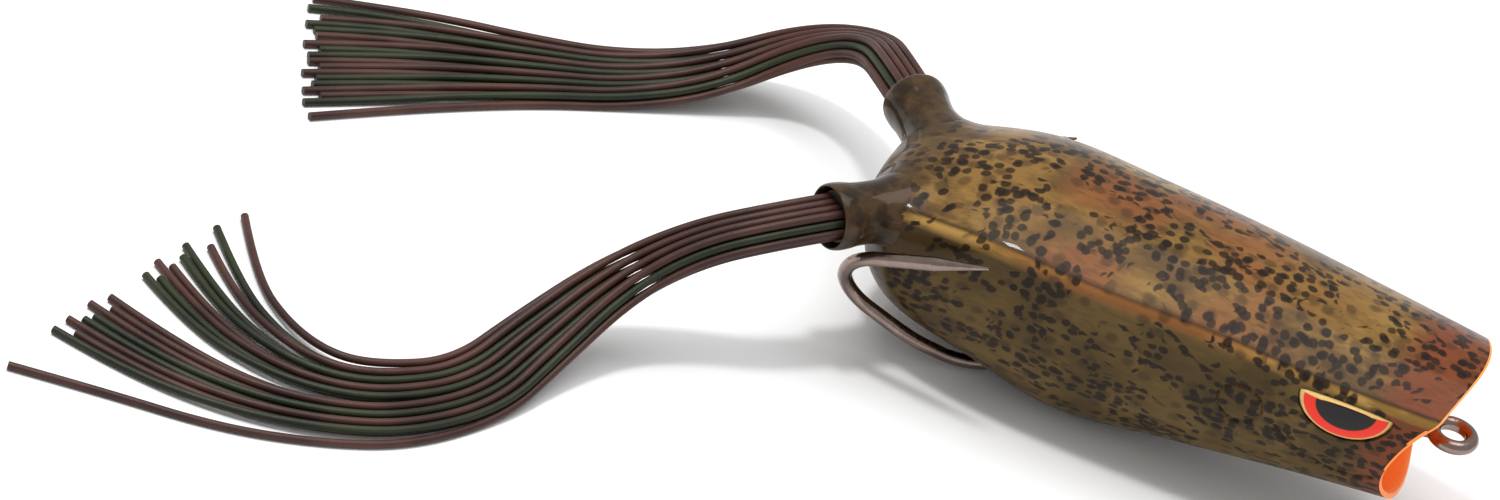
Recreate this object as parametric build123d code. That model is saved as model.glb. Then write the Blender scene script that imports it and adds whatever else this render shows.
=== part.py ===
from build123d import *
import math
import os

# Hollow-bodied popping frog lure. Millimetres, +X towards the mouth, +Y to the lure's left, +Z up.
# The origin is on the floor that the lure stands on, under the middle of the body with its hook.

# ---- driving dimensions ----
WALL = 1.5  # soft PVC skin
# stations along the body: x, half width at the ridge, ridge height, crown above it, keel height, roundness
BODY_STATIONS = [
    (-29.4, 4.2, 15.2, 0.6, 10.5, 2.2),
    (-27.4, 7.6, 16.9, 1.4, 6.0, 2.3),
    (-23.4, 9.6, 18.0, 2.3, 3.4, 2.6),
    (-15.4, 11.1, 19.3, 3.0, 2.5, 3.0),
    (-5.4, 11.3, 19.7, 3.2, 0.05, 2.5),
    (6.6, 10.6, 19.9, 3.0, 2.0, 2.4),
    (18.6, 9.9, 19.6, 2.5, 4.2, 2.3),
    (32.0, 8.4, 19.6, 2.2, 6.0, 2.2),
]
CAVITY_FRONT = 16.5  # the hollow ends here, behind the solid nose
LIP_TOP = (30.3, 20.4)  # x and z of the upper lip
LIP_BOTTOM = (27.0, 5.6)
SCOOP_RADIUS = 17.0  # the face curves back between the lips
CUP_STATIONS = [(33.0, 0.7), (27.0, 0.9), (22.5, 2.2), (19.8, 4.4)]  # x and how far inside the skin

WIRE = 1.4  # hook wire diameter
TIE_CENTRE = (30.4, 13.4)  # x and z of the line-tie ring
TIE_RING_RADIUS = 1.9  # centre line of the ring's wire
TIE_HOLE_RADIUS = 1.25
SHANK_Y = 0.75  # the two shanks lie side by side
HOOK_ROUTE = [  # one side of the hook, from the ring to the point: x, y, z
    (28.6, SHANK_Y, 13.4),
    (-8.0, SHANK_Y, 4.0),
    (-14.5, 3.8, 0.6),
    (-20.5, 7.1, 3.1),
    (-27.8, 8.5, 6.2),
    (-28.4, 11.5, 11.8),
    (-19.8, 12.6, 15.9),
]
HOOK_BENDS = [10.0, 9.0, 14.0, 5.2, 5.2]
HOOK_TIP = (-14.6, 13.2, 18.3)
TIP_RADIUS = 0.12
NOSE_HOLE = (3.4, 1.9)  # width and height of the hole that the shanks share
NOSE_HOLE_LENGTH = 16.0
WEIGHT_X = (0.0, 10.0)
WEIGHT_RADIUS = 2.8
SLOT_X = (-16.6, -6.6)  # belly slot for the hook, wide at the rear
SLOT_HALF_WIDTHS = (5.6, 2.0)
SLOT_HEIGHT = 5.2

SOCKET_MOUTH = (-30.9, 12.2, 15.6)
SOCKET_TURN = 50.0  # degrees outward from straight back
SOCKET_RADIUS = 3.15
SOCKET_BORE_RADIUS = 2.75
SOCKET_BORE_DEPTH = 4.2
SOCKET_LENGTH = 8.0
KNOT_RADIUS = 2.5
KNOT_INSET = 0.8  # the leg turns about a point this far inside the mouth

EYE_X = 20.9
EYE_Z = 17.7
EYE_RADIUS = 4.8
EYE_CUT = 0.3  # the flat upper edge of the eye is this far above its centre
EYE_PRINT = 0.3
EYE_DOME = 0.9
EYE_SINK = 0.6
EYE_LEAN = 5.0  # degrees that the flank leans in below the eye
EYE_TOE_IN = 0.13  # forward share of the eye's direction
EYE_GAP = 0.1  # round the eye in its pocket

STRAND = 0.8
TOUCH = 0.89  # distance between strands that lie together
PAIRS = 9  # a leg has nine strands in its lower rows and nine in its upper rows
FLOOR_ROW = 0.42  # height of the centre of a strand on the floor

# stations along each leg: x, y, height of the lowest row, direction of the row in degrees,
# spacing of the row's strands, slope of the leg in degrees, share of the tip gaps
RIGHT_LEG = [
    (-30.386, -11.587, 14.48, 140, 0.445, 0, 0),
    (-34.3, -16.2, 14.1, 129, 0.45, 14, 0),
    (-40.4, -19.5, 10.9, 124, 0.5, 29, 0),
    (-45.8, -23.9, 6.6, 142, 0.62, 29, 0),
    (-49.8, -31.9, 2.4, 158, 0.8, 19, 0),
    (-52.3, -39.7, FLOOR_ROW, 153, 0.95, 0, 0),
    (-57.6, -46.9, FLOOR_ROW, 132, 1.15, 0, 0.06),
    (-63.2, -50.4, FLOOR_ROW, 111, 1.25, 0, 0.12),
    (-70.2, -51.6, FLOOR_ROW, 93, 1.6, 0, 0.25),
    (-78.6, -50.2, FLOOR_ROW, 80, 2.1, 0, 0.45),
    (-86.0, -46.9, FLOOR_ROW, 77, 2.35, 0, 1),
]
LEFT_LEG = [
    (-30.386, 11.587, 14.48, 40, 0.445, 0, 0),
    (-33.7, 15.6, 14.1, 35, 0.45, 10, 0),
    (-37.6, 22.6, 11.6, 46, 0.5, 25, 0),
    (-44.5, 26.2, 6.6, 92, 0.62, 30, 0),
    (-52.5, 21.5, 1.7, 122, 0.745, 18, 0),
    (-60.3, 16.5, FLOOR_ROW, 122, 0.95, 0, 0),
    (-67.5, 12.2, FLOOR_ROW, 120, 1.2, 0, 0),
    (-74.7, 8.0, FLOOR_ROW, 122, 1.55, 0, 0.2),
    (-81.5, 3.3, FLOOR_ROW, 118, 1.85, 0, 0.5),
    (-87.3, -1.5, FLOOR_ROW, 112, 2.0, 0, 1),
]
# wider gaps between the clumps at the tips: number of the strand after the gap, and the gap
RIGHT_GAPS = {1: 7.0, 9: 4.5, 13: 0.8, 15: 1.8, 16: 0.7, 17: 3.2}
LEFT_GAPS = {1: 1.5, 12: 0.5, 16: 0.8, 17: 0.8}
TIP_STAGGER = 0.12  # strand ends are uneven by this share of the last run


# ---- body ----
def section(station, inset):
    """Closed outline across the body, a given depth inside the skin."""
    x, half_width, ridge, crown, keel, roundness = station
    half = max(half_width - inset, 0.8)
    top = ridge - 0.6 * inset
    peak = ridge + crown - inset
    low = min(keel + inset, top - 1.5)
    count = 12
    side = []
    for step in range(count + 1):
        turn = math.pi * step / count
        across = math.copysign(abs(math.cos(turn)) ** (2 / roundness), math.cos(turn))
        down = math.sin(turn) ** (2 / roundness)
        side.append((x, half * across, top - (top - low) * down))
    under = Spline(*side)
    over = ThreePointArc(side[-1], (x, 0, peak), side[0])
    return make_face(Wire([under, over]))


def station_at(x):
    """Body station at any x, on a smooth curve through the stated stations."""
    last = len(BODY_STATIONS) - 1
    at = max(i for i in range(last) if i == 0 or BODY_STATIONS[i][0] <= x)
    before, after = BODY_STATIONS[at], BODY_STATIONS[at + 1]
    span = after[0] - before[0]
    share = (x - before[0]) / span
    values = []
    for column in range(1, len(before)):
        slopes = [slope_at(i, column) * span for i in (at, at + 1)]
        blend = share * share * (3 - 2 * share)
        leave = share * (1 - share) ** 2
        arrive = -share * share * (1 - share)
        value = before[column] + blend * (after[column] - before[column])
        values.append(value + leave * slopes[0] + arrive * slopes[1])
    return (x, *values)


def slope_at(index, column):
    first, last = max(index - 1, 0), min(index + 1, len(BODY_STATIONS) - 1)
    rise_between = BODY_STATIONS[last][column] - BODY_STATIONS[first][column]
    return rise_between / (BODY_STATIONS[last][0] - BODY_STATIONS[first][0])


def body_loft(first, last, count, inset):
    """Smooth solid through evenly spaced sections."""
    step = (last - first) / count
    return loft([section(station_at(first + step * i), inset) for i in range(count + 1)])


def outside():
    """Outer surface: a short rounded tail and the long body."""
    tail, waist = BODY_STATIONS[0][0], BODY_STATIONS[2][0]
    return body_loft(tail, waist, 4, 0) + body_loft(waist, BODY_STATIONS[-1][0], 12, 0)


def cavity():
    return body_loft(-26.4, CAVITY_FRONT, 10, WALL)


def cup():
    """The hollow of the mouth, which follows the outline of the face."""
    return loft([section(station_at(x), inset) for x, inset in reversed(CUP_STATIONS)])


def scoop():
    """Cylinder across the lure that trims the face back between the lips."""
    (x1, z1), (x2, z2) = LIP_TOP, LIP_BOTTOM
    chord = math.hypot(x1 - x2, z1 - z2)
    reach = math.sqrt(SCOOP_RADIUS**2 - (chord / 2) ** 2)
    centre_x = (x1 + x2) / 2 + reach * (z1 - z2) / chord
    centre_z = (z1 + z2) / 2 - reach * (x1 - x2) / chord
    return Pos(centre_x, 0, centre_z) * Rot(90, 0, 0) * Cylinder(SCOOP_RADIUS, 60)


def socket_axis(side):
    """Plane at the socket's mouth, its normal pointing the way the leg leaves."""
    turn = math.radians(SOCKET_TURN)
    x, y, z = SOCKET_MOUTH
    return Plane((x, side * y, z), x_dir=(0, 0, 1), z_dir=(-math.cos(turn), side * math.sin(turn), 0))


def socket(side):
    barrel = Cylinder(SOCKET_RADIUS, SOCKET_LENGTH, align=(Align.CENTER, Align.CENTER, Align.MAX))
    barrel = fillet(barrel.edges().group_by(Axis.Z)[-1], 0.35)
    return socket_axis(side) * barrel


def socket_bore(side):
    bore = Cylinder(SOCKET_BORE_RADIUS, SOCKET_BORE_DEPTH, align=(Align.CENTER, Align.CENTER, Align.MAX))
    return socket_axis(side) * bore


def nose_hole():
    start, end = Vector(HOOK_ROUTE[0]), Vector(HOOK_ROUTE[1])
    plane = Plane((start.X, 0, start.Z), x_dir=(0, 1, 0), z_dir=end - start)
    width, height = NOSE_HOLE
    return extrude(plane * SlotOverall(width, height), NOSE_HOLE_LENGTH)


def belly_slot():
    rear, front = SLOT_X
    wide, narrow = SLOT_HALF_WIDTHS
    outline = Polyline((rear, -wide), (front, -narrow), (front, narrow), (rear, wide), close=True)
    return extrude(make_face(outline), SLOT_HEIGHT)


def eye_plane(side):
    """Plane on the flank where the eye sits, its normal pointing outward."""
    station = station_at(EYE_X)
    lean = math.radians(EYE_LEAN)
    normal = (EYE_TOE_IN, side * math.cos(lean), -math.sin(lean))
    centre = (EYE_X, side * (station[1] - EYE_SINK / 2), EYE_Z)
    return Plane(centre, x_dir=(1, -side * EYE_TOE_IN, 0), z_dir=normal)


def eye_outline(side, radius):
    """Half disc whose straight edge lies under the ridge."""
    disc = Circle(radius)
    up = 1 if eye_plane(side).y_dir.Z > 0 else -1
    keep = Pos(0, up * (EYE_CUT - radius)) * Rectangle(4 * radius, 2 * radius)
    return disc & keep


def eye_pocket(side):
    outline = eye_plane(side).offset(-EYE_SINK) * eye_outline(side, EYE_RADIUS + EYE_GAP)
    return extrude(outline, EYE_RADIUS)


def eye_print(side):
    plane = eye_plane(side).offset(-EYE_SINK)
    return extrude(plane * eye_outline(side, EYE_RADIUS), EYE_PRINT)


def eye_dome(side):
    plane = eye_plane(side).offset(EYE_PRINT - EYE_SINK)
    return extrude(plane * eye_outline(side, EYE_RADIUS), EYE_DOME, taper=25)


def body_shell():
    shell = outside() - scoop()
    for side in (-1, 1):
        shell = shell + socket(side)
    shell = shell - cavity() - cup() - nose_hole() - belly_slot()
    for side in (-1, 1):
        shell = shell - socket_bore(side) - eye_pocket(side)
    return shell


# ---- hook and weight ----
def hook_arm(side):
    points = [(x, side * y, z) for x, y, z in HOOK_ROUTE]
    path = FilletPolyline(*points, radius=HOOK_BENDS)
    start = Plane(points[0], z_dir=path % 0)
    wire = sweep(start * Circle(WIRE / 2), path=path)
    end = Vector(*points[-1])
    tip = Vector(HOOK_TIP[0], side * HOOK_TIP[1], HOOK_TIP[2])
    aim = Plane(end, z_dir=path % 1)
    reach = (tip - end).length
    point = aim * Cone(WIRE / 2, TIP_RADIUS, reach, align=(Align.CENTER, Align.CENTER, Align.MIN))
    return wire + point


def double_hook():
    ring = Pos(TIE_CENTRE[0], 0, TIE_CENTRE[1]) * Torus(TIE_RING_RADIUS, WIRE / 2)
    hook = ring + hook_arm(1) + hook_arm(-1)
    hole = Pos(TIE_CENTRE[0], 0, TIE_CENTRE[1]) * Cylinder(TIE_HOLE_RADIUS, 2 * WIRE)
    return hook - hole


def belly_weight(hook):
    start, end = Vector(*HOOK_ROUTE[0]), Vector(*HOOK_ROUTE[1])
    fall = (start.Z - end.Z) / (start.X - end.X)
    rear, front = WEIGHT_X
    ends = [Vector(x, 0, start.Z + fall * (x - start.X)) for x in (rear, front)]
    plane = Plane(ends[0], z_dir=ends[1] - ends[0])
    slug = Cylinder(WEIGHT_RADIUS, (ends[1] - ends[0]).length, align=(Align.CENTER, Align.CENTER, Align.MIN))
    slug = fillet(slug.edges().filter_by(GeomType.CIRCLE), 1.2)
    return plane * slug - hook


# ---- legs ----
def leg_knot(side):
    plane = socket_axis(side).offset(-KNOT_INSET)
    ball = plane * Sphere(KNOT_RADIUS)
    return split(ball, bisect_by=plane, keep=Keep.BOTTOM)


def rise(apart):
    """How much higher a strand lies when it rests on one this far to its side."""
    return math.sqrt(max(0.0, TOUCH**2 - apart**2))


def bundle_place(number, pitch):
    """Sideways and upward place of a strand in its bundle, four rows deep when tight and one when spread."""
    column, upper = divmod(number, 2)
    tightness = min(max((TOUCH - pitch) / (TOUCH / 2), 0.0), 1.0)
    shift = 0.5 + 0.5 * tightness
    second = rise(pitch)
    third = max(second + rise(shift * pitch), rise((1 - shift) * pitch))
    fourth = max(third + rise(pitch), second + rise((1 - shift) * pitch), rise(shift * pitch))
    heights = {(1, 0): 0.0, (0, 0): second, (0, 1): third, (1, 1): fourth}
    sideways = (column + shift * upper - (PAIRS - 1) / 2 - shift / 2) * pitch
    return sideways, heights[(column % 2, upper)]


def tip_shift(number, gaps):
    """Sideways move that opens the gaps between the clumps of strands."""
    passed = sum(gap for first, gap in gaps.items() if number >= first)
    return passed - sum(gaps.values()) / 2


def strand_route(leg, gaps, number):
    points = []
    for x, y, low, row_turn, pitch, slope, share in leg:
        sideways, up = bundle_place(number, pitch)
        sideways = sideways + share * tip_shift(number, gaps)
        row = math.radians(row_turn)
        forward = up * math.sin(math.radians(slope))
        points.append(
            Vector(
                x + sideways * math.cos(row) - forward * math.sin(row),
                y + sideways * math.sin(row) + forward * math.cos(row),
                low + up * math.cos(math.radians(slope)),
            )
        )
    stretch = 1 + TIP_STAGGER * math.sin(2.4 * number) - TIP_STAGGER
    points[-1] = points[-2] + (points[-1] - points[-2]) * stretch
    return points


def bend_radii(points):
    """The largest arc that each corner has room for."""
    radii = []
    for before, corner, after in zip(points, points[1:], points[2:]):
        turn = math.radians((corner - before).get_angle(after - corner))
        shorter = min((corner - before).length, (after - corner).length)
        radii.append(0.45 * shorter / math.tan(turn / 2))
    return radii


def strand(points):
    path = FilletPolyline(*points, radius=bend_radii(points))
    return sweep(Plane(points[0], z_dir=path % 0) * Circle(STRAND / 2), path=path)


def leg_strands(name, leg, gaps):
    """Every strand of one leg, from the knot's face to its tip."""
    made = {}
    smallest = []
    for number in range(2 * PAIRS):
        points = strand_route(leg, gaps, number)
        made[f"{name}_strand_{number + 1:02d}"] = strand(points)
        smallest.append(min(bend_radii(points)))
    print(name, "smallest bend radius of each strand:", [round(r, 1) for r in smallest])
    return made


def build():
    hook = double_hook()
    parts = {"body_shell": body_shell(), "double_hook": hook, "belly_weight": belly_weight(hook)}
    for name, side in (("right", -1), ("left", 1)):
        parts[f"{name}_eye_print"] = eye_print(side)
        parts[f"{name}_eye_dome"] = eye_dome(side)
        parts[f"{name}_leg_knot"] = leg_knot(side)
    parts.update(leg_strands("right", RIGHT_LEG, RIGHT_GAPS))
    parts.update(leg_strands("left", LEFT_LEG, LEFT_GAPS))
    return parts


PARTS = build()
os.makedirs("parts", exist_ok=True)
for name, shape in PARTS.items():
    export_step(shape, f"parts/{name}.step")
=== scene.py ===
import math

import bmesh
import bpy
import numpy as np
from mathutils import Matrix, Vector
from mathutils.bvhtree import BVHTree


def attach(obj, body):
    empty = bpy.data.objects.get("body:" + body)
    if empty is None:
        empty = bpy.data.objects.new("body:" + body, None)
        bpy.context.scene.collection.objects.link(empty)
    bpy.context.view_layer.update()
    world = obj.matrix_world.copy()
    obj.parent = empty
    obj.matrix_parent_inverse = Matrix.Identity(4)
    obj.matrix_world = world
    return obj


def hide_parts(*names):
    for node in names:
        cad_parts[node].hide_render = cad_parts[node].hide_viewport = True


# Looks of a hollow popping frog lure, in the frame's axes. Lengths are written in millimetres and
# multiplied by MM, except for the camera, the lights, the floor and the bumps, which are in metres.

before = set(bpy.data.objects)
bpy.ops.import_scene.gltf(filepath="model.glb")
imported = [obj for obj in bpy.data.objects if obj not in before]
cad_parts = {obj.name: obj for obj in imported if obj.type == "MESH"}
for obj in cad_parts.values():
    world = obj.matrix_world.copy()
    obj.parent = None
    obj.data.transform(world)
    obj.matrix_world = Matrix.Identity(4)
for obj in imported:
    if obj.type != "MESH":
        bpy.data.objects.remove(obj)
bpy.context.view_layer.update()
MM = 0.001

# ---- camera ----
VIEW_AZIMUTH = 10.5
VIEW_ELEVATION = 34.5
VIEW_ROLL = 18.0
VIEW_DISTANCE = 0.7
VIEW_TARGET = Vector((-0.0380, -0.0072, 0.0050))
VIEW_LENS = 175.4
SENSOR_WIDTH = 36
CLIP_START = 0.01


def add_camera():
    a, e, p = (math.radians(v) for v in (VIEW_AZIMUTH, VIEW_ELEVATION, VIEW_ROLL))
    back = Vector((math.sin(a) * math.cos(e), -math.cos(a) * math.cos(e), math.sin(e)))
    level = Vector((math.cos(a), math.sin(a), 0))
    upright = back.cross(level)
    right = math.cos(p) * level + math.sin(p) * upright
    up = -math.sin(p) * level + math.cos(p) * upright
    camera = bpy.data.objects.new("camera", bpy.data.cameras.new("camera"))
    camera.data.lens = VIEW_LENS
    camera.data.sensor_width = SENSOR_WIDTH
    camera.data.clip_start = CLIP_START
    place = Matrix((right, up, back)).transposed().to_4x4()
    place.translation = VIEW_TARGET + VIEW_DISTANCE * back
    camera.matrix_world = place
    bpy.context.scene.collection.objects.link(camera)
    bpy.context.scene.camera = camera


# ---- legs: the routes that the CAD tubes follow ----
TOUCH = 0.89  # between the middles of two neighbouring strands
PAIRS = 9  # strands in each leg, counted in twos
STRAND = 0.8
FLOOR_ROW = 0.42  # height of a strand's middle where it lies on the floor
TIP_STAGGER = 0.12  # share of the last stretch by which the tips differ
TIP_PHASE = 2.4
# x, y, height of the lowest row, direction of the row, spacing in the row, slope, share of the tip gaps
RIGHT_LEG = [
    (-30.386, -11.587, 14.48, 140, 0.445, 0, 0),
    (-34.3, -16.2, 14.1, 129, 0.45, 14, 0),
    (-40.4, -19.5, 10.9, 124, 0.5, 29, 0),
    (-45.8, -23.9, 6.6, 142, 0.62, 29, 0),
    (-49.8, -31.9, 2.4, 158, 0.8, 19, 0),
    (-52.3, -39.7, FLOOR_ROW, 153, 0.95, 0, 0),
    (-57.6, -46.9, FLOOR_ROW, 132, 1.15, 0, 0.06),
    (-63.2, -50.4, FLOOR_ROW, 111, 1.25, 0, 0.12),
    (-70.2, -51.6, FLOOR_ROW, 93, 1.6, 0, 0.25),
    (-78.6, -50.2, FLOOR_ROW, 80, 2.1, 0, 0.45),
    (-86.0, -46.9, FLOOR_ROW, 77, 2.35, 0, 1),
]
LEFT_LEG = [
    (-30.386, 11.587, 14.48, 40, 0.445, 0, 0),
    (-33.7, 15.6, 14.1, 35, 0.45, 10, 0),
    (-37.6, 22.6, 11.6, 46, 0.5, 25, 0),
    (-44.5, 26.2, 6.6, 92, 0.62, 30, 0),
    (-52.5, 21.5, 1.7, 122, 0.745, 18, 0),
    (-60.3, 16.5, FLOOR_ROW, 122, 0.95, 0, 0),
    (-67.5, 12.2, FLOOR_ROW, 120, 1.2, 0, 0),
    (-74.7, 8.0, FLOOR_ROW, 122, 1.55, 0, 0.2),
    (-81.5, 3.3, FLOOR_ROW, 118, 1.85, 0, 0.5),
    (-87.3, -1.5, FLOOR_ROW, 112, 2.0, 0, 1),
]
# extra gap at the tips before the strand of each number
RIGHT_GAPS = {1: 7.0, 9: 4.5, 13: 0.8, 15: 1.8, 16: 0.7, 17: 3.2}
LEFT_GAPS = {1: 1.5, 12: 0.5, 16: 0.8, 17: 0.8}


def rise(apart):
    """How much higher a strand lies than one that it touches."""
    return math.sqrt(max(0.0, TOUCH**2 - apart**2))


def bundle_place(number, pitch):
    """Sideways and upward place of a strand in its bundle."""
    column, upper = divmod(number, 2)
    tightness = min(max((TOUCH - pitch) / (TOUCH / 2), 0.0), 1.0)
    shift = 0.5 + 0.5 * tightness
    second = rise(pitch)
    third = max(second + rise(shift * pitch), rise((1 - shift) * pitch))
    fourth = max(third + rise(pitch), second + rise((1 - shift) * pitch), rise(shift * pitch))
    heights = {(1, 0): 0.0, (0, 0): second, (0, 1): third, (1, 1): fourth}
    sideways = (column + shift * upper - (PAIRS - 1) / 2 - shift / 2) * pitch
    return sideways, heights[(column % 2, upper)]


def tip_shift(number, gaps):
    """Sideways place of a strand's tip from the gaps before it."""
    passed = sum(gap for first, gap in gaps.items() if number >= first)
    return passed - sum(gaps.values()) / 2


def strand_route(leg, gaps, number):
    """Control points of one strand, in metres."""
    points = []
    for x, y, low, row_turn, pitch, slope, share in leg:
        sideways, up = bundle_place(number, pitch)
        sideways = sideways + share * tip_shift(number, gaps)
        row = math.radians(row_turn)
        forward = up * math.sin(math.radians(slope))
        points.append(
            Vector(
                (
                    x + sideways * math.cos(row) - forward * math.sin(row),
                    y + sideways * math.sin(row) + forward * math.cos(row),
                    low + up * math.cos(math.radians(slope)),
                )
            )
        )
    stretch = 1 + TIP_STAGGER * math.sin(TIP_PHASE * number) - TIP_STAGGER
    points[-1] = points[-2] + (points[-1] - points[-2]) * stretch
    return [p * MM for p in points]


# ---- materials ----
class Nodes:
    """Short calls for building one material's node tree."""

    def __init__(self, name):
        self.material = bpy.data.materials.new(name)
        self.material.use_nodes = True
        self.tree = self.material.node_tree
        self.shader = self.tree.nodes["Principled BSDF"]

    def node(self, kind, **settings):
        made = self.tree.nodes.new("ShaderNode" + kind)
        for key, value in settings.items():
            setattr(made, key, value)
        return made

    def link(self, source, target):
        if isinstance(source, bpy.types.NodeSocket):
            self.tree.links.new(source, target)
        else:
            target.default_value = source

    def set(self, **values):
        for key, value in values.items():
            self.shader.inputs[key.replace("_", " ")].default_value = value

    def base(self, colour):
        self.link(colour, self.shader.inputs["Base Color"])

    def attribute(self, name):
        return self.node("Attribute", attribute_name=name)

    def position(self, scale=1000.0):
        coordinates = self.node("TexCoord")
        return self.scaled(coordinates.outputs["Object"], (scale, scale, scale))

    def scaled(self, vector, scale):
        made = self.node("VectorMath", operation="MULTIPLY")
        self.link(vector, made.inputs[0])
        made.inputs[1].default_value = scale
        return made.outputs[0]

    def shifted(self, vector, shift):
        made = self.node("VectorMath", operation="ADD")
        self.link(vector, made.inputs[0])
        self.link(shift, made.inputs[1])
        return made.outputs[0]

    def noise(self, vector, scale, detail=2.0, roughness=0.5):
        made = self.node("TexNoise")
        self.link(vector, made.inputs["Vector"])
        made.inputs["Scale"].default_value = scale
        made.inputs["Detail"].default_value = detail
        made.inputs["Roughness"].default_value = roughness
        return made

    def ramp(self, value, low, high):
        """0 below low, 1 above high, smooth between; low may be above high to turn it over."""
        made = self.node("MapRange", interpolation_type="SMOOTHSTEP")
        self.link(value, made.inputs["Value"])
        flip = low > high
        made.inputs["From Min"].default_value = high if flip else low
        made.inputs["From Max"].default_value = low if flip else high
        made.inputs["To Min"].default_value = 1.0 if flip else 0.0
        made.inputs["To Max"].default_value = 0.0 if flip else 1.0
        return made.outputs["Result"]

    def math(self, operation, a, b=0.0):
        made = self.node("Math", operation=operation)
        self.link(a, made.inputs[0])
        self.link(b, made.inputs[1])
        return made.outputs[0]

    def mix(self, share, a, b):
        made = self.node("Mix", data_type="RGBA")
        self.link(share, made.inputs["Factor"])
        self.link(a, made.inputs[6])
        self.link(b, made.inputs[7])
        return made.outputs[2]

    def separate(self, vector):
        made = self.node("SeparateXYZ")
        self.link(vector, made.inputs[0])
        return made.outputs

    def bump(self, height, distance, strength=1.0):
        made = self.node("Bump")
        made.inputs["Distance"].default_value = distance
        made.inputs["Strength"].default_value = strength
        self.link(height, made.inputs["Height"])
        self.link(made.outputs["Normal"], self.shader.inputs["Normal"])


def rgb(red, green, blue):
    """Linear colour from 0-255 display values."""

    def linear(v):
        return ((v / 255 + 0.055) / 1.055) ** 2.4 if v > 10 else v / 255 / 12.92

    return linear(red), linear(green), linear(blue), 1


# spacing, radius, strength and seed of each layer of small flakes
FLAKE_LAYERS = (
    (1.25, 0.40, 0.84, 3.0),
    (1.4, 0.43, 0.86, 27.0),
    (1.6, 0.46, 0.9, 51.0),
)
FLAKE_BLUR = 0.10
FLAKE_RANDOMNESS = 0.68
FLAKE_GROWTH = 0.08


def flake_layer(n, skin, level, spacing, radius, blur, seed):
    """Round dark flakes of one size, kept where level is above each one's own chance."""
    ragged = n.noise(skin, 0.9, 0.0)
    off_centre = n.scaled(n.shifted(ragged.outputs["Color"], (-0.5, -0.5, 0)), (0.35, 0.35, 0))
    scale = 1 / spacing
    grid = n.scaled(n.shifted(skin, off_centre), (scale, scale, scale))
    shifted = n.shifted(grid, (seed, seed * 0.7, 0))
    cells = n.node("TexVoronoi", voronoi_dimensions="2D", feature="F1")
    n.link(shifted, cells.inputs["Vector"])
    cells.inputs["Scale"].default_value = 1.0
    cells.inputs["Randomness"].default_value = FLAKE_RANDOMNESS
    chance, size = n.separate(cells.outputs["Color"])[0:2]
    grown = n.math("ADD", cells.outputs["Distance"], n.math("MULTIPLY", size, -FLAKE_GROWTH * scale))
    disc = n.ramp(grown, (radius + blur) * scale, (radius - blur) * scale)
    kept = n.ramp(n.math("SUBTRACT", level, chance), -0.02, 0.02)
    return n.math("MULTIPLY", disc, kept)


def skin_material():
    n = Nodes("frog_skin")
    skin = n.attribute("skin").outputs["Vector"]
    place = n.position()
    x = n.separate(place)[0]
    band = n.attribute("band").outputs["Fac"]
    crease_shade = n.attribute("crease_shade").outputs["Fac"]
    flank = n.attribute("flank").outputs["Fac"]

    streaks = n.noise(n.scaled(place, (0.12, 0.4, 0.4)), 1.0, 3.0, 0.6)
    clouds = n.noise(place, 0.11, 3.0, 0.55)
    fine = n.noise(n.scaled(place, (0.5, 1.6, 1.6)), 1.0, 4.0, 0.65)

    top = n.mix(n.ramp(clouds.outputs["Fac"], 0.40, 0.60), rgb(92, 70, 42), rgb(130, 98, 52))
    top = n.mix(n.ramp(streaks.outputs["Fac"], 0.52, 0.70), top, rgb(140, 108, 58))
    rust_patch = n.noise(n.shifted(place, (31.0, 7.0, 3.0)), 0.085, 2.0)
    middle = n.math("MULTIPLY", n.ramp(x, -20.0, -6.0), n.ramp(x, 20.0, 4.0))
    rust = n.math("MULTIPLY", n.ramp(rust_patch.outputs["Fac"], 0.42, 0.60), middle)
    top = n.mix(n.math("MULTIPLY", rust, 0.8), top, rgb(130, 78, 46))
    side = n.mix(n.ramp(clouds.outputs["Fac"], 0.38, 0.66), rgb(74, 58, 30), rgb(98, 78, 42))
    colour = n.mix(flank, top, side)
    snout = n.math("MULTIPLY", n.ramp(x, 21.5, 26.0), n.ramp(fine.outputs["Fac"], 0.20, 0.46))
    colour = n.mix(snout, colour, rgb(118, 62, 36))
    tail = n.ramp(x, -20.0, -29.0)
    colour = n.mix(n.math("MULTIPLY", tail, 0.7), colour, rgb(76, 60, 38))
    dirt = n.math("MULTIPLY", n.ramp(fine.outputs["Fac"], 0.46, 0.66), 0.35)
    colour = n.mix(dirt, colour, rgb(62, 46, 28))

    gold = n.mix(n.ramp(streaks.outputs["Fac"], 0.42, 0.58), rgb(132, 100, 50), rgb(168, 132, 72))
    gold = n.mix(n.math("MULTIPLY", middle, 0.8), gold, rgb(126, 78, 44))
    colour = n.mix(band, colour, gold)

    chains = n.noise(n.scaled(skin, (0.13, 0.2, 0.2)), 1.0, 1.0)
    ridge = n.math("ABSOLUTE", n.math("SUBTRACT", chains.outputs["Fac"], 0.5))
    clumps = n.noise(skin, 0.13, 1.0)
    level = n.math("ADD", n.math("MULTIPLY", n.ramp(ridge, 0.07, 0.02), 0.38), -0.07)
    level = n.math("ADD", level, n.math("MULTIPLY", n.ramp(clumps.outputs["Fac"], 0.35, 0.65), 0.52))
    deep = flake_layer(n, skin, n.math("ADD", level, 0.25), 1.9, 0.58, 0.26, 11.0)
    colour = n.mix(n.math("MULTIPLY", deep, 0.55), colour, rgb(56, 42, 28))
    for spacing, radius, share, seed in FLAKE_LAYERS:
        layer = flake_layer(n, skin, level, spacing, radius, FLAKE_BLUR, seed)
        colour = n.mix(n.math("MULTIPLY", layer, share), colour, rgb(33, 25, 20))
    # painted shade: a thin dark line along the ridge edge where the top meets the band
    colour = n.mix(n.math("MULTIPLY", crease_shade, 0.8), colour, rgb(40, 27, 20))
    colour = n.mix(n.attribute("root").outputs["Fac"], colour, socket_colour(n, place))
    n.base(colour)
    n.set(Roughness=0.4, Specular_IOR_Level=0.05, Coat_Weight=0.28, Coat_Roughness=0.05, Coat_IOR=1.3)
    wave = n.noise(place, 0.35, 2.0, 0.5)
    n.bump(wave.outputs["Fac"], 0.00018, 0.35)
    return n.material


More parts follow.
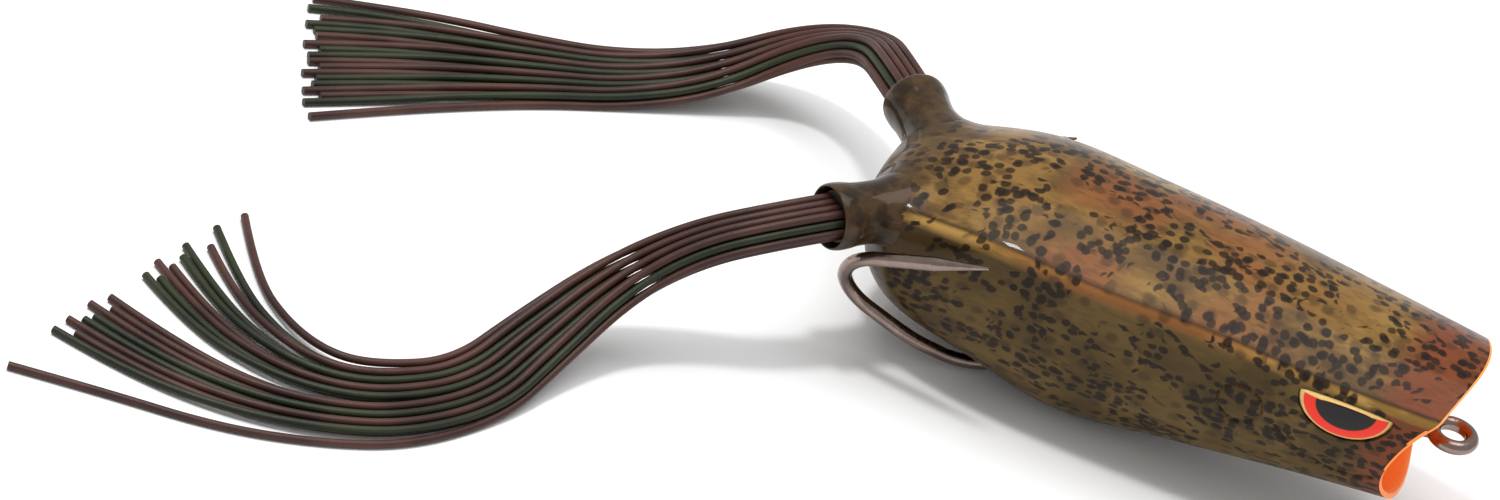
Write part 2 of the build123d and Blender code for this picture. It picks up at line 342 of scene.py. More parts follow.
def cup_material():
    n = Nodes("mouth_paint")
    tone = n.noise(n.position(), 0.5, 3.0)
    n.base(n.mix(tone.outputs["Fac"], rgb(250, 140, 58), rgb(255, 154, 70)))
    # The faint orange emission is painted light: a glow that lifts the shade inside the cup.
    n.set(Roughness=0.5, Emission_Color=rgb(255, 110, 30), Emission_Strength=0.14)
    n.bump(tone.outputs["Fac"], 0.00006, 0.5)
    return n.material


def socket_colour(n, place):
    clouds = n.noise(place, 0.45, 4.0, 0.6)
    return n.mix(n.ramp(clouds.outputs["Fac"], 0.36, 0.66), rgb(44, 33, 22), rgb(76, 57, 36))


def socket_material():
    n = Nodes("socket_skin")
    place = n.position()
    colour = socket_colour(n, place)
    n.base(colour)
    n.set(Roughness=0.4, Specular_IOR_Level=0.05, Coat_Weight=0.6, Coat_Roughness=0.06, Coat_IOR=1.33)
    n.bump(n.noise(place, 0.9, 3.0).outputs["Fac"], 0.0001, 0.4)
    return n.material


def wire_material():
    n = Nodes("bronze_wire")
    place = n.position()
    drawn = n.noise(place, 0.7, 3.0, 0.6)
    colour = n.mix(drawn.outputs["Fac"], rgb(116, 98, 90), rgb(160, 142, 134))
    n.base(colour)
    n.set(Metallic=1.0, Roughness=0.2)
    rough = n.node("MapRange")
    n.link(drawn.outputs["Fac"], rough.inputs["Value"])
    rough.inputs["To Min"].default_value = 0.14
    rough.inputs["To Max"].default_value = 0.30
    n.link(rough.outputs["Result"], n.shader.inputs["Roughness"])
    n.bump(n.noise(place, 3.0, 2.0).outputs["Fac"], 0.00004, 0.5)
    return n.material


def strand_material(name, dark, light):
    n = Nodes(name)
    place = n.position()
    tone = n.noise(place, 0.09, 3.0, 0.6)
    grain = n.noise(place, 2.4, 3.0, 0.7)
    colour = n.mix(n.ramp(tone.outputs["Fac"], 0.35, 0.65), dark, light)
    n.base(colour)
    n.set(Roughness=0.46, Specular_IOR_Level=0.3)
    n.bump(grain.outputs["Fac"], 0.00006, 0.6)
    return n.material


def lead_material():
    n = Nodes("cast_lead")
    place = n.position()
    tone = n.noise(place, 0.8, 5.0, 0.7)
    n.base(n.mix(tone.outputs["Fac"], rgb(84, 86, 90), rgb(134, 136, 140)))
    n.set(Metallic=0.9, Roughness=0.55)
    n.bump(tone.outputs["Fac"], 0.0003, 0.6)
    return n.material


def knot_material():
    n = Nodes("rubber_knot")
    tone = n.noise(n.position(), 2.0, 4.0, 0.7)
    n.base(n.mix(tone.outputs["Fac"], rgb(20, 17, 15), rgb(44, 36, 30)))
    n.set(Roughness=0.6)
    n.bump(tone.outputs["Fac"], 0.0002, 0.6)
    return n.material


def eye_colour(n):
    """Gold rim, red ring and black pupil, by how far out a point is."""
    ring = n.attribute("ring").outputs["Fac"]
    speck = n.noise(n.position(), 6.0, 2.0)
    gold = n.mix(speck.outputs["Fac"], rgb(206, 164, 84), rgb(240, 208, 136))
    colour = n.mix(n.ramp(ring, 0.915, 0.885), gold, rgb(240, 44, 16))
    colour = n.mix(n.ramp(ring, 0.655, 0.625), colour, rgb(12, 10, 9))
    n.base(colour)
    n.bump(speck.outputs["Fac"], 0.00002, 0.3)


def eye_print_material():
    n = Nodes("eye_print")
    eye_colour(n)
    n.set(Roughness=0.35, Specular_IOR_Level=0.05)
    return n.material


def eye_dome_material():
    n = Nodes("eye_dome")
    eye_colour(n)
    n.set(Roughness=0.3, Specular_IOR_Level=0.05, Coat_Weight=1.0, Coat_Roughness=0.02, Coat_IOR=1.3)
    return n.material


# ---- mesh helpers ----
def mesh_object(name, points, faces, body=None, smooth=True):
    mesh = bpy.data.meshes.new(name)
    mesh.from_pydata([tuple(p) for p in points], [], [tuple(f) for f in faces])
    mesh.validate()
    obj = bpy.data.objects.new(name, mesh)
    bpy.context.scene.collection.objects.link(obj)
    if smooth:
        mesh.polygons.foreach_set("use_smooth", [True] * len(mesh.polygons))
    if body:
        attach(obj, body)
    return obj


def rows_to_faces(row_count, ring):
    """Quads between closed rows of equal length."""
    faces = []
    for i in range(row_count - 1):
        for j in range(ring):
            k = (j + 1) % ring
            a, b = i * ring, (i + 1) * ring
            faces.append((a + j, a + k, b + k, b + j))
    return faces


def closed_rows(rows):
    """One closed mesh from closed rows, with a point in the middle of each end."""
    rows = np.array(rows)
    count, ring, _ = rows.shape
    points = rows.reshape(-1, 3).tolist()
    faces = rows_to_faces(count, ring)
    for row, turn in ((0, False), (count - 1, True)):
        middle = rows[row].mean(axis=0)
        points.append(middle.tolist())
        centre = len(points) - 1
        for j in range(ring):
            a, b = row * ring + j, row * ring + (j + 1) % ring
            faces.append((b, a, centre) if not turn else (a, b, centre))
    return points, faces


def smoothstep(value, low, high):
    t = np.clip((value - low) / (high - low), 0.0, 1.0)
    return t * t * (3 - 2 * t)


# ---- body ----
# x, half width at the ridge, ridge height, crown above it, keel height, roundness
BODY_STATIONS = np.array(
    [
        (-29.4, 4.2, 15.2, 0.6, 10.5, 2.2),
        (-27.4, 7.6, 16.9, 1.4, 6.0, 2.3),
        (-23.4, 9.6, 18.0, 2.3, 3.4, 2.6),
        (-15.4, 11.1, 19.6, 3.0, 2.5, 3.0),
        (-5.4, 11.3, 19.7, 3.2, 0.05, 2.5),
        (6.6, 10.6, 19.9, 3.0, 2.0, 2.4),
        (18.6, 9.9, 19.6, 2.5, 4.2, 2.3),
        (32.0, 8.4, 19.6, 2.2, 6.0, 2.2),
    ]
)
TAIL_X, NOSE_X = BODY_STATIONS[0, 0], BODY_STATIONS[-1, 0]
LIP_TOP = (30.3, 20.4)  # x and z of the upper lip
LIP_BOTTOM = (26.4, 5.6)
SCOOP_RADIUS = 17.0  # the face curves back between the lips
UPPER_LIP = -0.8  # how far each lip bows forward in the middle
LOWER_LIP = 1.3
LIP_HALF = 8.4  # half width that the bow runs out over
BAND_DEPTH = 0.7  # the bevel strip under the ridge
BAND_OUT = 0.55
BAND_RISE = 0.1  # the strip's upper edge over the ridge height
CUP_DEPTH = 7.8
CUP_INSET = 5.6
FACE_START = 12.0  # x where the rows begin to lean towards the face
BLUNT_SHARES = (0.35, 0.7, 0.9)  # sizes of the rows that close the tail
BLUNT_DEPTH = 0.35
EAR_X, EAR_Z, EAR_RADIUS = 11.4, 13.6, 2.2
EAR_GROOVE, MOUTH_GROOVE = 0.3, 0.24
MOUTH_LINE = [(15.2, 12.6), (16.6, 11.3), (18.4, 10.3), (21.0, 9.5), (23.6, 9.6), (25.3, 10.3)]
WALL = 1.5
CAVITY_REAR, CAVITY_FRONT = -26.4, 16.5
SLOT_BELOW, SLOT_TOP = -3.0, 5.2
BODY_SHARP = math.radians(38)
SMALL_SHARP = math.radians(50)


def station_values(x):
    """Half width, ridge, crown, keel and roundness at each x, on smooth curves."""
    x = np.asarray(x, float)
    knots = BODY_STATIONS[:, 0]
    at = np.clip(np.searchsorted(knots, x, side="right") - 1, 0, len(knots) - 2)
    span = knots[at + 1] - knots[at]
    t = (x - knots[at]) / span
    columns = []
    for column in range(1, 6):
        values = BODY_STATIONS[:, column]
        ahead = np.minimum(np.arange(len(knots)) + 1, len(knots) - 1)
        behind = np.maximum(np.arange(len(knots)) - 1, 0)
        slope = (values[ahead] - values[behind]) / (knots[ahead] - knots[behind])
        start, end = values[at], values[at + 1]
        columns.append(
            start
            + t * t * (3 - 2 * t) * (end - start)
            + t * (1 - t) ** 2 * slope[at] * span
            - t * t * (1 - t) * slope[at + 1] * span
        )
    return columns


def ring_places(fine):
    """Kinds and places of the points round a section: top, band and flank, left to right."""
    top = [("top", s) for s in np.linspace(1, -1, 45)[1:-1]]
    band = [("band", s) for s in np.linspace(0, 1, 7)]
    upper = np.linspace(0.0, 0.60, 52 if fine else 24)[1:]
    lower = np.linspace(0.60, 1.0, 22 if fine else 12)[1:]
    flank = [("flank", s) for s in np.concatenate([upper, lower])]
    right = [(kind, -1, s) for kind, s in band + flank]
    left = [(kind, 1, s) for kind, s in reversed(band + flank[:-1])]
    return [(kind, 0, s) for kind, s in top] + right + left


def section_points(x, places, inset):
    """y and z of each place for a point's own x."""
    half, ridge, crown, keel, roundness = station_values(x)
    kinds = np.array([{"top": 0, "band": 1, "flank": 2}[p[0]] for p in places])
    side = np.array([p[1] for p in places], float)
    s = np.array([p[2] for p in places], float)
    down = np.clip(s, 0, 1)
    edge = half - BAND_OUT
    y_top = edge * s
    z_top = ridge + BAND_RISE + crown * (1 - s**2)
    y_band = side * (edge + BAND_OUT * np.sin(down * math.pi / 2) ** 0.9)
    z_band = ridge + BAND_RISE - (BAND_DEPTH + BAND_RISE) * s
    depth = ridge - keel
    start = np.arcsin(np.clip(BAND_DEPTH / depth, 0, 1) ** (roundness / 2))
    turn = start + (math.pi / 2 - start) * down
    y_flank = side * half * np.clip(np.cos(turn), 0, 1) ** (2 / roundness)
    z_flank = ridge - depth * np.sin(turn) ** (2 / roundness)
    y = np.select([kinds == 0, kinds == 1], [y_top, y_band], y_flank)
    z = np.select([kinds == 0, kinds == 1], [z_top, z_band], z_flank)
    if np.any(np.asarray(inset) != 0):
        middle = ridge - 0.42 * depth
        shrink_y = 1 - inset / half
        shrink_z = 1 - inset / (0.5 * (depth + crown))
        y = y * shrink_y
        z = middle + (z - middle) * shrink_z
    return y, z


def face_x(y, z):
    """x of the scooped face; the lower lip is fuller in the middle."""
    (x1, z1), (x2, z2) = LIP_TOP, LIP_BOTTOM
    chord = math.hypot(x1 - x2, z1 - z2)
    reach = math.sqrt(SCOOP_RADIUS**2 - (chord / 2) ** 2)
    centre_x = (x1 + x2) / 2 + reach * (z1 - z2) / chord
    centre_z = (z1 + z2) / 2 - reach * (x1 - x2) / chord
    bow = LOWER_LIP + (UPPER_LIP - LOWER_LIP) * smoothstep(z, 5.0, 16.0)
    full = bow * np.clip(1 - (y / LIP_HALF) ** 2, 0, 1)
    return centre_x - np.sqrt(SCOOP_RADIUS**2 - (z - centre_z) ** 2) + full


def skin_row(x, places, inset=0.0):
    """One closed upright row of the skin."""
    own_x = np.full(len(places), float(x))
    y, z = section_points(own_x, places, inset)
    return np.stack([own_x, y, z], axis=1)


def face_row(share, places, inset=0.0, back=0.0):
    """One closed row between the upright one at FACE_START and the scooped face, which has share 1."""
    own_x = np.full(len(places), FACE_START)
    for _ in range(8):
        y, z = section_points(own_x, places, inset)
        own_x = FACE_START + share * (face_x(y, z) - back - FACE_START)
    return np.stack([own_x, y, z], axis=1)


def outer_rows(places):
    """Closed rows of the skin from the tail to the face."""
    rows = []
    for share in BLUNT_SHARES:
        row = skin_row(TAIL_X, places)
        middle = row.mean(axis=0)
        row = middle + (row - middle) * share
        row[:, 0] = TAIL_X - BLUNT_DEPTH * (1 - share)
        rows.append(row)
    rows += [skin_row(x, places) for x in np.linspace(TAIL_X, -22.0, 22)]
    rows += [skin_row(x, places) for x in np.arange(-21.6, 8.0, 0.45)]
    rows += [skin_row(x, places) for x in np.arange(8.0, FACE_START - 0.05, 0.17)]
    rows += [face_row(share, places) for share in np.linspace(0.0, 1.0, 90)]
    return rows


# inset and setback of the rows round the lip's edge
LIP_EDGE = ((0.06, -0.05), (0.28, -0.08), (0.5, -0.04), (0.58, 0.08))


def cup_rows(places):
    """Closed rows from the lip's edge to the bottom of the cup."""
    rows = [face_row(1, places, inset, back) for inset, back in LIP_EDGE]
    for step in np.linspace(0.0, 1.0, 26)[1:]:
        turn = step * math.pi / 2
        inset = 0.62 + CUP_INSET * (1 - math.cos(turn)) ** 1.4
        rows.append(face_row(1, places, inset, 0.08 + CUP_DEPTH * math.sin(turn) ** 1.1))
    return rows


def band_line(x, y, z):
    """Places on the skin for the materials: how far round, in the band, on the painted shade line along
    the band's upper edge, on the flank.
    """
    half, ridge, *_ = station_values(np.clip(x, TAIL_X, NOSE_X))
    below = ridge - z
    on_side = below > 0.0
    under = np.maximum(half - np.abs(y), 0) * smoothstep(below, 1.5, 5.0)
    around = np.where(on_side, half - BAND_OUT + 1.15 * below + under, np.abs(y))
    around = around * np.sign(y + 1e-9)
    near = smoothstep(np.abs(y), half - 1.0, half - 0.45)
    over = 1 - smoothstep(below, BAND_DEPTH - 0.1, BAND_DEPTH + 0.25)
    band = smoothstep(below, -0.12, 0.02) * over * near
    # painted shade: a thin dark line along the band's upper edge
    crease_shade = np.exp(-(((below + BAND_RISE) / 0.16) ** 2)) * near
    flank = smoothstep(below, 0.4, 1.6)
    return around, band, crease_shade, flank


def carve(points):
    """Fine moulded lines on the flanks: the ear ring and the mouth line."""
    x, y, z = points.T
    half = station_values(np.clip(x, TAIL_X, NOSE_X))[0]
    side = np.abs(y) > 0.55 * half
    ear = np.hypot(x - EAR_X, z - EAR_Z)
    ring = np.exp(-(((ear - EAR_RADIUS) / 0.16) ** 2)) * EAR_GROOVE
    ring = ring - np.exp(-((ear / 2.0) ** 4)) * 0.06
    away = np.full(len(x), 9.0)
    for (xa, za), (xb, zb) in zip(MOUTH_LINE, MOUTH_LINE[1:]):
        length2 = (xb - xa) ** 2 + (zb - za) ** 2
        t = np.clip(((x - xa) * (xb - xa) + (z - za) * (zb - za)) / length2, 0, 1)
        away = np.minimum(away, np.hypot(x - xa - t * (xb - xa), z - za - t * (zb - za)))
    mouth = np.exp(-((away / 0.2) ** 2)) * MOUTH_GROOVE
    mouth = mouth - np.exp(-(((away - 0.45) / 0.25) ** 2)) * 0.05
    depth = np.where(side, ring + mouth, 0.0)
    points[:, 1] -= np.sign(y) * depth
    return points


def trim_with(target, cutter):
    """Cuts the cutter out of the target for good and removes the cutter."""
    modifier = target.modifiers.new("trim", "BOOLEAN")
    modifier.operation = "DIFFERENCE"
    modifier.solver = "EXACT"
    modifier.object = cutter
    bpy.context.view_layer.update()
    graph = bpy.context.evaluated_depsgraph_get()
    result = bpy.data.meshes.new_from_object(target.evaluated_get(graph))
    target.modifiers.clear()
    old = target.data
    target.data = result
    bpy.data.meshes.remove(old)
    bpy.data.objects.remove(cutter)


def cavity_object():
    places = ring_places(False)
    rows = [skin_row(x, places, inset=WALL) for x in np.linspace(CAVITY_REAR, CAVITY_FRONT, 50)]
    points, faces = closed_rows(np.array(rows) * MM)
    return mesh_object("cavity", points, faces)


def prism(outline, low, high):
    """Closed prism with an outline in x and y between two heights."""
    count = len(outline)
    points = [(x, y, low) for x, y in outline] + [(x, y, high) for x, y in outline]
    faces = [tuple(reversed(range(count))), tuple(range(count, 2 * count))]
    for i in range(count):
        k = (i + 1) % count
        faces.append((i, k, count + k, count + i))
    return [tuple(v * MM for v in p) for p in points], faces


def slot_object():
    """Belly slot for the hook, a trapezium with rounded corners."""
    rear, wide, front, narrow = -16.6, 5.6, -6.2, 2.25
    rear_round, front_round = 0.9, 0.6
    corners = [
        (rear + rear_round, wide - rear_round, rear_round, 90),
        (rear + rear_round, rear_round - wide, rear_round, 180),
        (front - front_round, front_round - narrow, front_round, 270),
        (front - front_round, narrow - front_round, front_round, 360),
    ]
    outline = []
    for x, y, radius, start in corners:
        for step in range(7):
            turn = math.radians(start + 15 * step)
            outline.append((x + radius * math.cos(turn), y + radius * math.sin(turn)))
    points, faces = prism(outline, SLOT_BELOW, SLOT_TOP)
    return mesh_object("slot", points, faces)


SHANK_START = Vector((28.6, 0, 13.4))
SHANK_END = Vector((-8.0, 0, 4.0))
NOSE_HOLE_REACH = (4.0, 15.5)  # its two ends, along the shanks


def nose_hole_object():
    """Hole through the nose, as wide as the two shanks."""
    along = (SHANK_END - SHANK_START).normalized()
    across = Vector((0, 1, 0))
    upright = along.cross(across)
    width, height = 3.4, 1.9
    outline = []
    for centre, start in ((0.5 * (width - height), -90), (-0.5 * (width - height), 90)):
        for step in range(13):
            turn = math.radians(start + 15 * step)
            outline.append((centre + 0.5 * height * math.cos(turn), 0.5 * height * math.sin(turn)))
    count = len(outline)
    points = []
    for reach in NOSE_HOLE_REACH:
        base = SHANK_START + along * reach
        points += [tuple((base + across * a + upright * b) * MM) for a, b in outline]
    faces = [tuple(range(count)), tuple(reversed(range(count, 2 * count)))]
    for i in range(count):
        k = (i + 1) % count
        faces.append((i, count + i, count + k, k))
    return mesh_object("nose_hole", points, faces)


def face_outward(mesh):
    fix = bmesh.new()
    fix.from_mesh(mesh)
    bmesh.ops.recalc_face_normals(fix, faces=fix.faces)
    fix.to_mesh(mesh)
    fix.free()


def blend_lift(distance):
    """How far two surfaces rise where they meet, for a rounded corner between them."""
    return BLEND * np.clip(1 - np.abs(distance) / BLEND, 0, 1) ** 2 / 4


def blend_share(along):
    """0 at the socket's open end and 1 where the blend is full."""
    return smoothstep(along, BLEND_START, BLEND_FULL)


def turned_paint(places, number):
    """Number of rows of the skin next to the face that the mouth's paint reaches over."""
    kind, _, s = places[number]
    if kind in ("top", "band"):
        return 1
    return max(0, round(2 * (1 - 2.5 * s)))


def body_object(skin, paint):
    """The painted body; gives back its surface before the cuts, for the sockets to blend into."""
    places = ring_places(True)
    outer = outer_rows(places)
    points, faces = closed_rows(np.array(outer + cup_rows(places)))
    points = np.array(points)
    skinned = len(outer) * len(places)
    points[:skinned] = carve(points[:skinned])
    body = mesh_object("body_shell_skin", points * MM, faces)
    body.data.materials.append(skin)
    body.data.materials.append(paint)
    ring = len(places)
    first_cup = (len(outer) - 1) * ring
    in_cup = []
    for face in faces:
        first = min(face)
        in_cup.append(int(first >= first_cup - turned_paint(places, first % ring) * ring))
    body.data.polygons.foreach_set("material_index", in_cup)
    face_outward(body.data)
    tree = BVHTree.FromPolygons(
        [v.co.copy() for v in body.data.vertices], [tuple(p.vertices) for p in body.data.polygons]
    )
    lifts = np.zeros(len(points))
    for side in (-1, 1):
        mouth, out, _ = socket_frame(side)
        for i, point in enumerate(points[:skinned]):
            if point[0] > LIFT_FRONT:
                continue
            offset = Vector(point) - mouth
            along = offset.dot(out)
            away = (offset - out * along).length - SOCKET_RADIUS
            lifts[i] += blend_lift(away) * blend_share(along)
    normals = [v.normal.copy() for v in body.data.vertices]
    for vertex, normal, lift in zip(body.data.vertices, normals, lifts):
        if lift > 0:
            vertex.co += normal * lift * MM
    for cutter in (cavity_object(), nose_hole_object(), slot_object(), eye_cutter(-1), eye_cutter(1)):
        face_outward(cutter.data)
        trim_with(body, cutter)
    paint_skin(body.data)
    body.data.polygons.foreach_set("use_smooth", [True] * len(body.data.polygons))
    body.data.set_sharp_from_angle(angle=BODY_SHARP)
    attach(body, "lure_body")
    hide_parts("body_shell")
    return tree


def paint_skin(mesh):
    """Point attributes that the skin's material reads."""
    co = np.zeros(len(mesh.vertices) * 3)
    mesh.vertices.foreach_get("co", co)
    x, y, z = (co.reshape(-1, 3) / MM).T
    around, band, crease_shade, flank = band_line(x, y, z)
    skin = mesh.attributes.new("skin", "FLOAT_VECTOR", "POINT")
    unrolled = np.stack([x, around, np.zeros_like(x)], 1)
    skin.data.foreach_set("vector", unrolled.astype(np.float32).ravel())
    root = np.zeros_like(x)
    for side in (-1, 1):
        mouth, out, _ = socket_frame(side)
        offset = np.stack([x, y, z], 1) - np.array(mouth)
        along = offset @ np.array(out)
        away = np.linalg.norm(offset - along[:, None] * np.array(out), axis=1)
        root = np.maximum(root, 1 - smoothstep(away, 3.5, 5.2))
    root = root * (1 - smoothstep(x, -26.5, -23.5))
    for name, values in (("band", band), ("crease_shade", crease_shade), ("flank", flank), ("root", root)):
        layer = mesh.attributes.new(name, "FLOAT", "POINT")
        layer.data.foreach_set("value", values.astype(np.float32))


# ---- sockets ----
SOCKET_MOUTH = Vector((-30.9, 12.2, 15.6))
SOCKET_TURN = 50.0
SOCKET_RADIUS = 3.0
SOCKET_STEPS = 96
BLEND = 2.2
BLEND_START, BLEND_FULL = -0.8, -2.2  # places along the axis
LIFT_FRONT = -20.0  # x in front of which the skin is not lifted
# place along the axis and radius, from the bottom of the bore over the rim to the end inside the body;
# places inside the mouth are negative
SOCKET_PROFILE = [
    (-4.2, 0.0),
    (-4.2, 2.4),
    (-3.6, 2.76),
    (-0.9, 2.8),
    (-0.45, 2.84),
    (-0.15, 2.9),
    (0.0, 3.0),
    (-0.06, 3.1),
    (-0.25, 3.18),
    (-0.7, 3.24),
    (-1.6, 3.2),
    (-2.6, 3.06),
    (-3.6, 3.0),
    (-4.6, 3.0),
    (-5.4, 3.0),
    (-6.2, 3.0),
    (-7.4, 3.0),
    (-8.6, 2.9),
    (-9.4, 2.4),
    (-10.0, 1.4),
    (-10.2, 0.1),
]


def socket_frame(side):
    """Middle of the socket's mouth, its outward axis and the level direction across it."""
    turn = math.radians(SOCKET_TURN)
    mouth = Vector((SOCKET_MOUTH.x, side * SOCKET_MOUTH.y, SOCKET_MOUTH.z))
    out = Vector((-math.cos(turn), side * math.sin(turn), 0))
    return mouth, out, Vector((0, 0, 1)).cross(out)


def socket_object(name, side, material, tree):
    """Open socket with a blend where its outside meets the body."""
    mouth, out, across = socket_frame(side)
    count = SOCKET_STEPS
    profile = round_profile(SOCKET_PROFILE)
    outside = profile.index(max(profile, key=lambda p: p[0]))
    points = []
    for number, (along, radius) in enumerate(profile):
        for step in range(count):
            a = 2 * math.pi * step / count
            ray = across * math.cos(a) + Vector((0, 0, math.sin(a)))
            place = mouth + out * along + ray * radius
            if number > outside and along < BLEND_START:
                apart = tree.find_nearest(place * MM)[3]
                lift = blend_lift(apart / MM) * blend_share(along)
                place = place + ray * lift
            points.append(place * MM)
    faces = rows_to_faces(len(profile), count)
    faces.append(tuple(range(count)))
    faces.append(tuple(reversed(range(len(points) - count, len(points)))))
    socket = mesh_object(name, points, faces, "lure_body")
    socket.data.materials.append(material)
    face_outward(socket.data)
    socket.data.set_sharp_from_angle(angle=SMALL_SHARP)


def round_profile(profile, steps=4):
    """Profile points with a smooth curve through them."""
    smooth = []
    last = len(profile) - 1
    for i in range(last):
        p0, p1 = profile[max(i - 1, 0)], profile[i]
        p2, p3 = profile[i + 1], profile[min(i + 2, last)]
        for step in range(steps):
            t = step / steps
            smooth.append(
                tuple(
                    0.5
                    * (
                        2 * p1[k]
                        + (p2[k] - p0[k]) * t
                        + (2 * p0[k] - 5 * p1[k] + 4 * p2[k] - p3[k]) * t * t
                        + (3 * p1[k] - p0[k] - 3 * p2[k] + p3[k]) * t**3
                    )
                    for k in range(2)
                )
            )
    smooth.append(profile[last])
    return [(a, max(r, 0.02)) for a, r in smooth]


# ---- eyes ----
EYE_X, EYE_Z = 20.9, 18.05
EYE_HALF = 4.65
EYE_DROP = 3.95
EYE_LEAN = 5.0
EYE_TOE = 0.13
EYE_RINGS, EYE_STEPS = 20, 64
EYE_SET_IN = 0.25  # the upper edge lies this far inside the ridge
EYE_EDGE = 0.09  # how much the straight edge bulges up
POCKET_EDGE = 0.10
POCKET_GAP = 0.08
POCKET_FLOOR, POCKET_TOP = -0.62, 3.0
# heights along the outward direction
PRINT_FRONT, PRINT_BACK = -0.30, -0.60
DOME_RIM, DOME_RISE, DOME_BACK = -0.10, 0.72, -0.27


def eye_frame(side):
    """Centre of the eye's upper edge, and its forward, upward and outward directions."""
    half = float(station_values(EYE_X)[0])
    lean = math.radians(EYE_LEAN)
    out = Vector((EYE_TOE, side * math.cos(lean), -math.sin(lean))).normalized()
    forward = Vector((1, -side * EYE_TOE, 0)).normalized()
    up = out.cross(forward)
    if up.z < 0:
        up = -up
    return Vector((EYE_X, side * (half - EYE_SET_IN), EYE_Z)), forward, up, out


def eye_grid(side, half, drop, height, edge, rings, steps=EYE_STEPS):
    """Half disc of rings; height gives how far each ring stands out."""
    centre, forward, up, out = eye_frame(side)
    points, shares = [], []
    for ring in range(rings + 1):
        share = ring / rings
        for step in range(steps):
            turn = 2 * math.pi * step / steps
            a, b = math.cos(turn), math.sin(turn)
            if b > 0:
                b = b * edge
            place = centre + forward * (half * share * a) + up * (drop * share * b)
            place = place + out * height(share)
            points.append(place * MM)
            shares.append(0.97 if b > 0.01 * edge and share > 0.5 else share)
    return points, shares


def eye_cutter(side):
    """Pocket in the flank that the eye sits in."""
    half, drop = EYE_HALF + POCKET_GAP, EYE_DROP + POCKET_GAP
    count = EYE_STEPS
    points = []
    for lift in (POCKET_FLOOR, POCKET_TOP):
        row, _ = eye_grid(side, half, drop, lambda share: lift, POCKET_EDGE, rings=1)
        points += [tuple(p) for p in row[count:]]
    faces = [tuple(range(count)), tuple(reversed(range(count, 2 * count)))]
    faces += [(i, count + i, count + (i + 1) % count, (i + 1) % count) for i in range(count)]
    return mesh_object("eye_cutter", points, faces)


def eye_piece(name, side, height, base, material, node):
    """Closed half-disc piece between a flat back and a crowned front."""
    rings, steps = EYE_RINGS, EYE_STEPS
    front, shares = eye_grid(side, EYE_HALF, EYE_DROP, height, EYE_EDGE, rings)
    back, _ = eye_grid(side, EYE_HALF, EYE_DROP, lambda share: base, EYE_EDGE, rings)
    total = len(front)
    faces = []
    for i in range(rings):
        for j in range(steps):
            k = (j + 1) % steps
            a, b = i * steps, (i + 1) * steps
            faces.append((a + j, a + k, b + k, b + j))
            faces.append((total + b + j, total + b + k, total + a + k, total + a + j))
    rim = rings * steps
    for j in range(steps):
        k = (j + 1) % steps
        faces.append((rim + j, rim + k, total + rim + k, total + rim + j))
    piece = mesh_object(name, front + back, faces)
    layer = piece.data.attributes.new("ring", "FLOAT", "POINT")
    layer.data.foreach_set("value", np.array(shares + shares, np.float32))
    fix = bmesh.new()
    fix.from_mesh(piece.data)
    bmesh.ops.remove_doubles(fix, verts=fix.verts, dist=1e-7)
    bmesh.ops.recalc_face_normals(fix, faces=fix.faces)
    fix.to_mesh(piece.data)
    fix.free()
    piece.data.polygons.foreach_set("use_smooth", [True] * len(piece.data.polygons))
    piece.data.set_sharp_from_angle(angle=SMALL_SHARP)
    piece.data.materials.append(material)
    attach(piece, "lure_body")
    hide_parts(node)


def print_height(share):
    return PRINT_FRONT


def dome_height(share):
    return DOME_RIM + DOME_RISE * (1 - share**2.6) ** 0.5


def add_eyes(print_material, dome_material):
    """A printed foil and a painted, glossy dome over it on each side."""
    for name, side in (("right", -1), ("left", 1)):
        foil, foil_node = f"{name}_eye_foil", f"{name}_eye_print"
        lens, lens_node = f"{name}_eye_lens", f"{name}_eye_dome"
        eye_piece(foil, side, print_height, PRINT_BACK, print_material, foil_node)
        eye_piece(lens, side, dome_height, DOME_BACK, dome_material, lens_node)


# ---- strands ----
# numbers of the brown strands; the others are green
BROWN_STRANDS = (1, 3, 4, 7, 8, 9, 12, 13, 16, 18)


def strand_object(name, points, material, body):
    """One strand as a round spline along the CAD tube's route."""
    curve = bpy.data.curves.new(name, "CURVE")
    curve.dimensions = "3D"
    curve.bevel_depth = STRAND / 2 * MM
    curve.bevel_resolution = 4
    curve.resolution_u = 10
    curve.use_fill_caps = True
    line = curve.splines.new("NURBS")
    line.points.add(len(points) - 1)
    for point, place in zip(line.points, points):
        point.co = (*place, 1.0)
    line.order_u = 3
    line.use_endpoint_u = True
    strand = bpy.data.objects.new(name, curve)
    bpy.context.scene.collection.objects.link(strand)
    curve.materials.append(material)
    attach(strand, body)
    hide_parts(name.replace("_silicone", ""))
    return strand


def curve_length(strand):
    """Length of the strand's own centre line."""
    bare = strand.copy()
    bare.data = strand.data.copy()
    bare.data.bevel_depth = 0
    bpy.context.scene.collection.objects.link(bare)
    bpy.context.view_layer.update()
    graph = bpy.context.evaluated_depsgraph_get()
    mesh = bpy.data.meshes.new_from_object(bare.evaluated_get(graph))
    co = [v.co.copy() for v in mesh.vertices]
    bpy.data.objects.remove(bare)
    return sum((b - a).length for a, b in zip(co, co[1:]))


def add_strands(brown, green):
    for side, leg, gaps in (("right", RIGHT_LEG, RIGHT_GAPS), ("left", LEFT_LEG, LEFT_GAPS)):
        for number in range(2 * PAIRS):
            is_brown = number + 1 in BROWN_STRANDS
            points = strand_route(leg, gaps, number)
            material, slot = (brown, "strand_brown") if is_brown else (green, "strand_green")
            name = f"{side}_strand_{number + 1:02d}_silicone"
            strand = strand_object(name, points, material, f"{side}_leg")
            curve_length(strand)


# ---- studio ----
WORLD_STRENGTH = 0.55
FLOOR_HALF = 3
LIGHT_AIM = (-0.02, 0, 0.01)
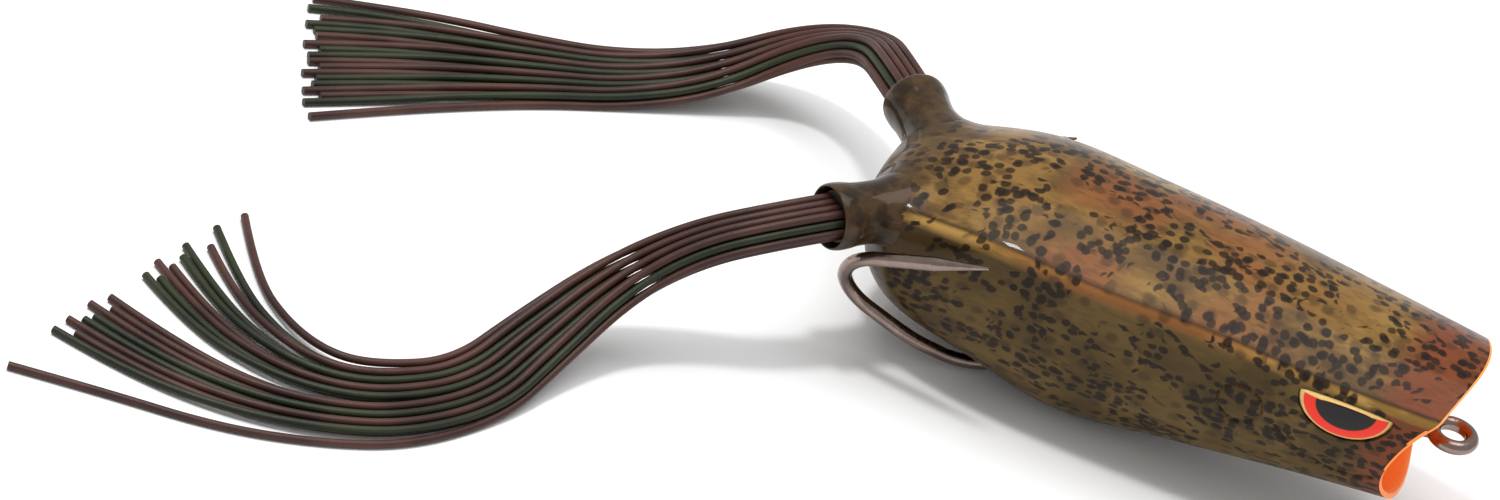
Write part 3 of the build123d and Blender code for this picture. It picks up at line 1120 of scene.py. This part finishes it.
# name, place, size and power
LIGHTS = (
    ("overhead", (-0.05, 0.10, 0.85), (0.9, 0.6), 5),
    ("spark", (-0.16, -0.08, 0.6), (0.06, 0.06), 1.3),
)


def add_light(name, place, size, power):
    lamp = bpy.data.lights.new(name, "AREA")
    lamp.shape = "RECTANGLE"
    lamp.size, lamp.size_y = size
    lamp.energy = power
    light = bpy.data.objects.new(name, lamp)
    light.location = place
    light.rotation_euler = (Vector(LIGHT_AIM) - Vector(place)).to_track_quat("-Z", "Y").to_euler()
    bpy.context.scene.collection.objects.link(light)


def add_studio():
    r = FLOOR_HALF
    points = [(-r, -r, 0), (r, -r, 0), (r, r, 0), (-r, r, 0)]
    floor = mesh_object("studio_floor", points, [(0, 1, 2, 3)], smooth=False)
    n = Nodes("studio_floor")
    tone = n.noise(n.position(1.0), 3.0)
    colour = n.mix(tone.outputs["Fac"], (0.93, 0.93, 0.93, 1), (0.95, 0.95, 0.95, 1))
    n.base(colour)
    n.set(Roughness=0.9, Specular_IOR_Level=0.1)
    floor.data.materials.append(n.material)
    world = bpy.data.worlds.new("studio")
    world.use_nodes = True
    background = world.node_tree.nodes["Background"]
    background.inputs["Color"].default_value = (1, 1, 1, 1)
    background.inputs["Strength"].default_value = WORLD_STRENGTH
    bpy.context.scene.world = world
    for light in LIGHTS:
        add_light(*light)
    bpy.context.scene.view_settings.view_transform = "Standard"


add_camera()
brown = strand_material("silicone_brown", rgb(54, 32, 27), rgb(78, 48, 40))
green = strand_material("silicone_green", rgb(26, 32, 18), rgb(44, 50, 28))
add_strands(brown, green)
skin_tree = body_object(skin_material(), cup_material())
socket_skin = socket_material()
socket_object("right_leg_socket", -1, socket_skin, skin_tree)
socket_object("left_leg_socket", 1, socket_skin, skin_tree)
add_eyes(eye_print_material(), eye_dome_material())
for node, material in (
    ("double_hook", wire_material()),
    ("belly_weight", lead_material()),
    ("right_leg_knot", knot_material()),
    ("left_leg_knot", knot_material()),
):
    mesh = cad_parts[node].data
    mesh.materials.clear()
    mesh.materials.append(material)
add_studio()
